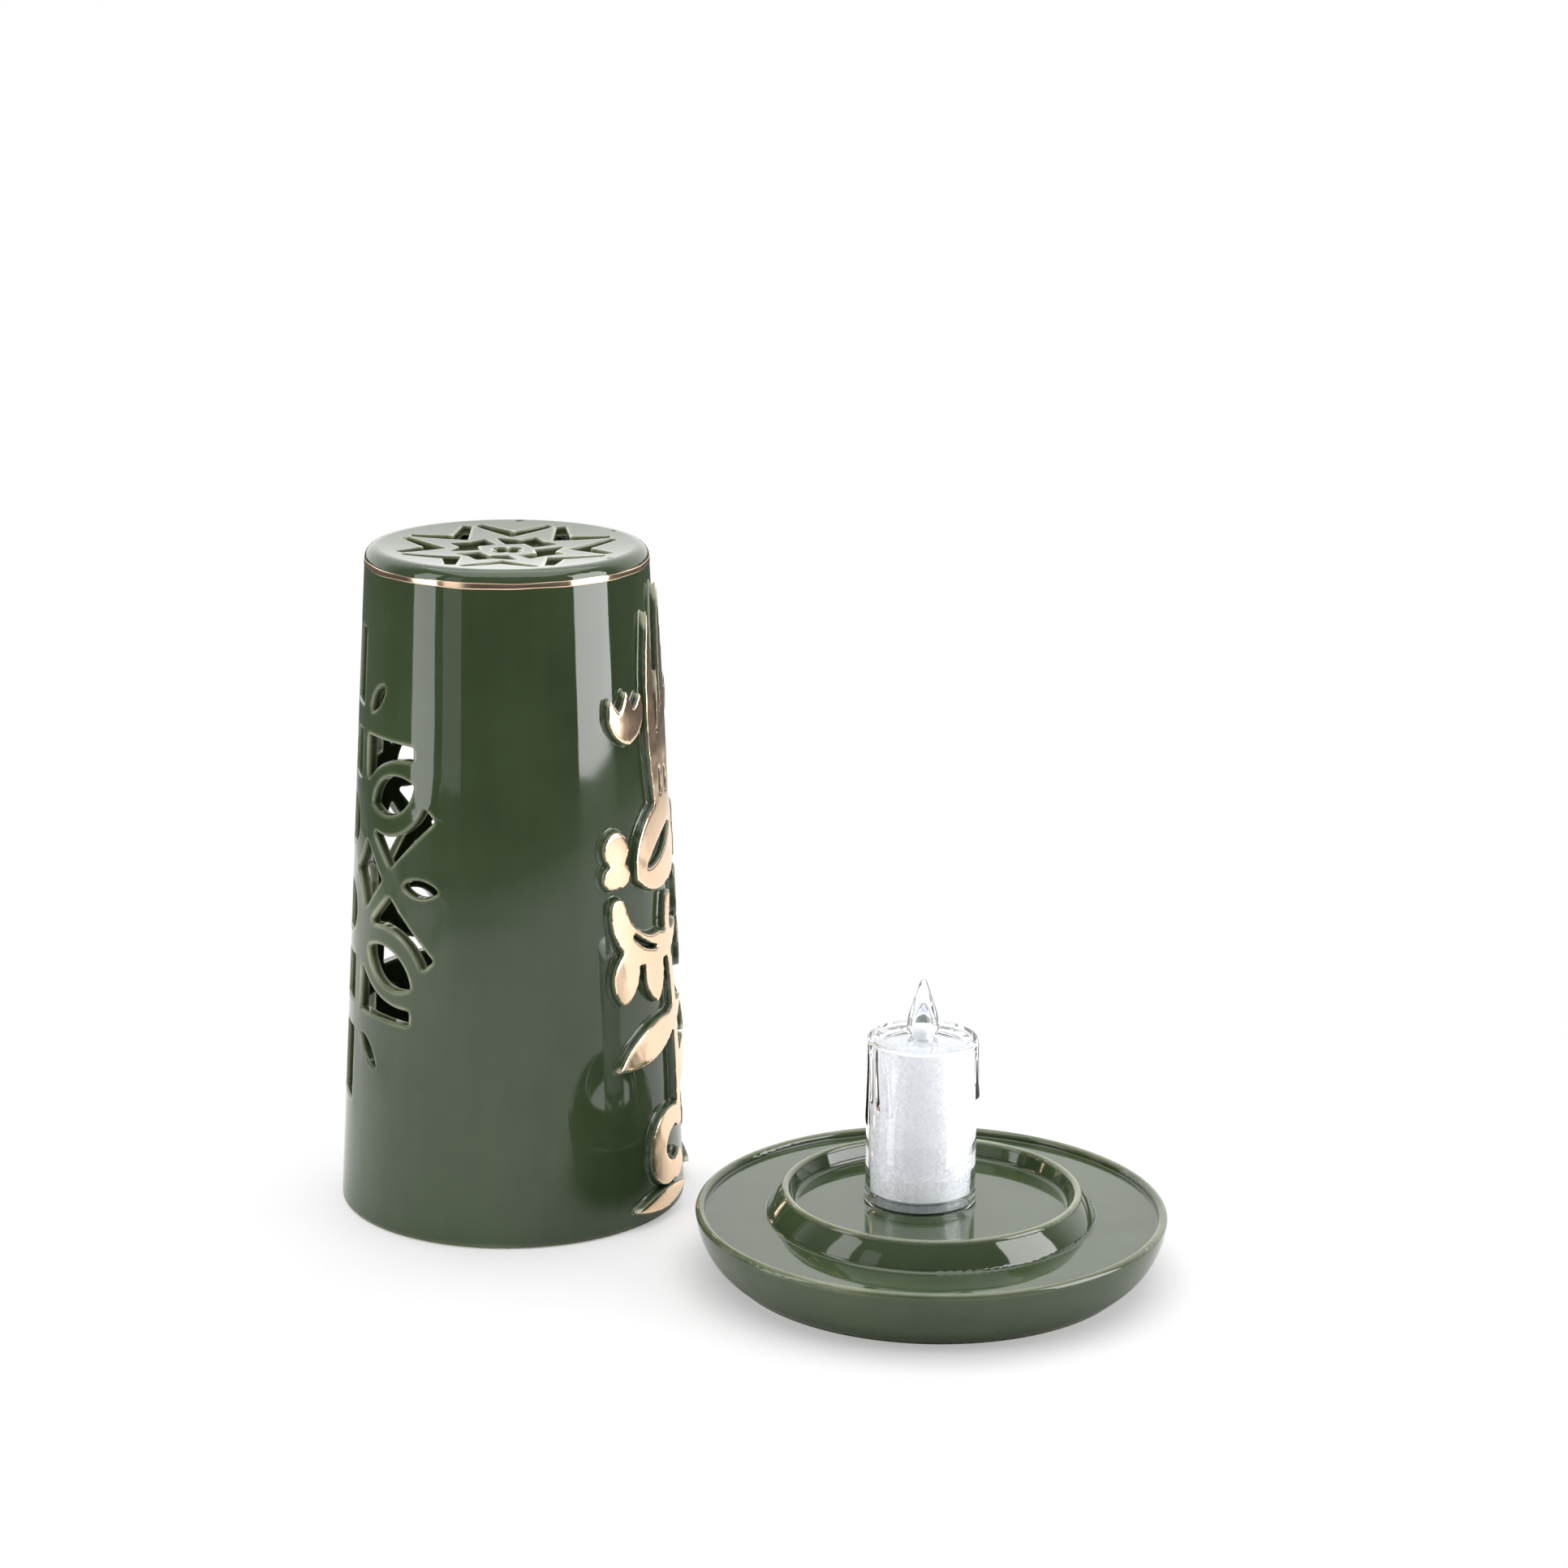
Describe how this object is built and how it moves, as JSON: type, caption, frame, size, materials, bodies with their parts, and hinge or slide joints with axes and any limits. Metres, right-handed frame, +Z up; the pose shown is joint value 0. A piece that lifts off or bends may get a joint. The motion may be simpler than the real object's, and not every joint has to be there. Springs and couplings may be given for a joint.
{
  "type": "candle lantern",
  "caption": "Ceramic candle lantern: a pierced, tapered cover with gilded relief stands beside its ringed dish, which holds a clear battery candle.",
  "frame": {"origin": "middle of the whole arrangement's footprint, on the surface it stands on", "axes": "+Z up; +X to the right, from the cover towards the dish; the arrangement is seen from -Y"},
  "size_m": [0.2847, 0.2108, 0.2322],
  "materials": {
    "green_glaze": "high gloss moss-green glaze, paler where it thins over edges",
    "gold_lustre": "polished rose-gold lustre",
    "clear_acrylic": "clear, polished",
    "glitter_white": "white with fine sparkle",
    "led_epoxy": "clear epoxy",
    "tinned_steel": "bright tinned",
    "board_green": "solder mask",
    "black_plastic": "moulded",
    "smoke_plastic": "cloudy clear, moulded",
    "nickel_steel": "nickel plated",
    "white_plastic": "moulded"
  },
  "bodies": {
    "dish": {"saucer": "green_glaze"},
    "cover": {"cover_shell": "green_glaze", "gold_band": "gold_lustre", "relief_crown": "green_glaze", "relief_vine": "green_glaze", "relief_trefoil": "green_glaze", "relief_tulip": "green_glaze", "relief_foot_leaf": "green_glaze", "ornament_gilding": "gold_lustre"},
    "candle": {"candle_shell": "clear_acrylic", "light_sleeve": "glitter_white", "flame_lens": "clear_acrylic", "led": "led_epoxy", "led_leads": "tinned_steel", "circuit_board": "board_green", "flicker_chip": "black_plastic", "resistor": "black_plastic", "base_plate": "smoke_plastic", "cell_housing": "smoke_plastic", "coin_cell": "nickel_steel", "positive_contact": "tinned_steel", "negative_contact": "tinned_steel", "base_screws": "nickel_steel", "switch_housing": "black_plastic"},
    "switch": {"switch_knob": "white_plastic"},
    "battery_door": {"battery_cap": "white_plastic"}
  },
  "joints": [
    {"name": "cover_lift", "type": "slide", "parent": "dish", "child": "cover", "axis": [0, 0, 1], "range_m": [0, 0.12]},
    {"name": "candle_lift", "type": "slide", "parent": "dish", "child": "candle", "axis": [0, 0, 1], "range_m": [0, 0.04]},
    {"name": "switch_slide", "type": "slide", "parent": "candle", "child": "switch", "axis": [1, 0, 0], "range_m": [0, 0.003]},
    {"name": "battery_cap_twist", "type": "hinge", "parent": "candle", "child": "battery_door", "pos_m": [0.05975, -0.02364, 0.0242], "axis": [0, 0, 1], "range_deg": [0, 45]}
  ]
}
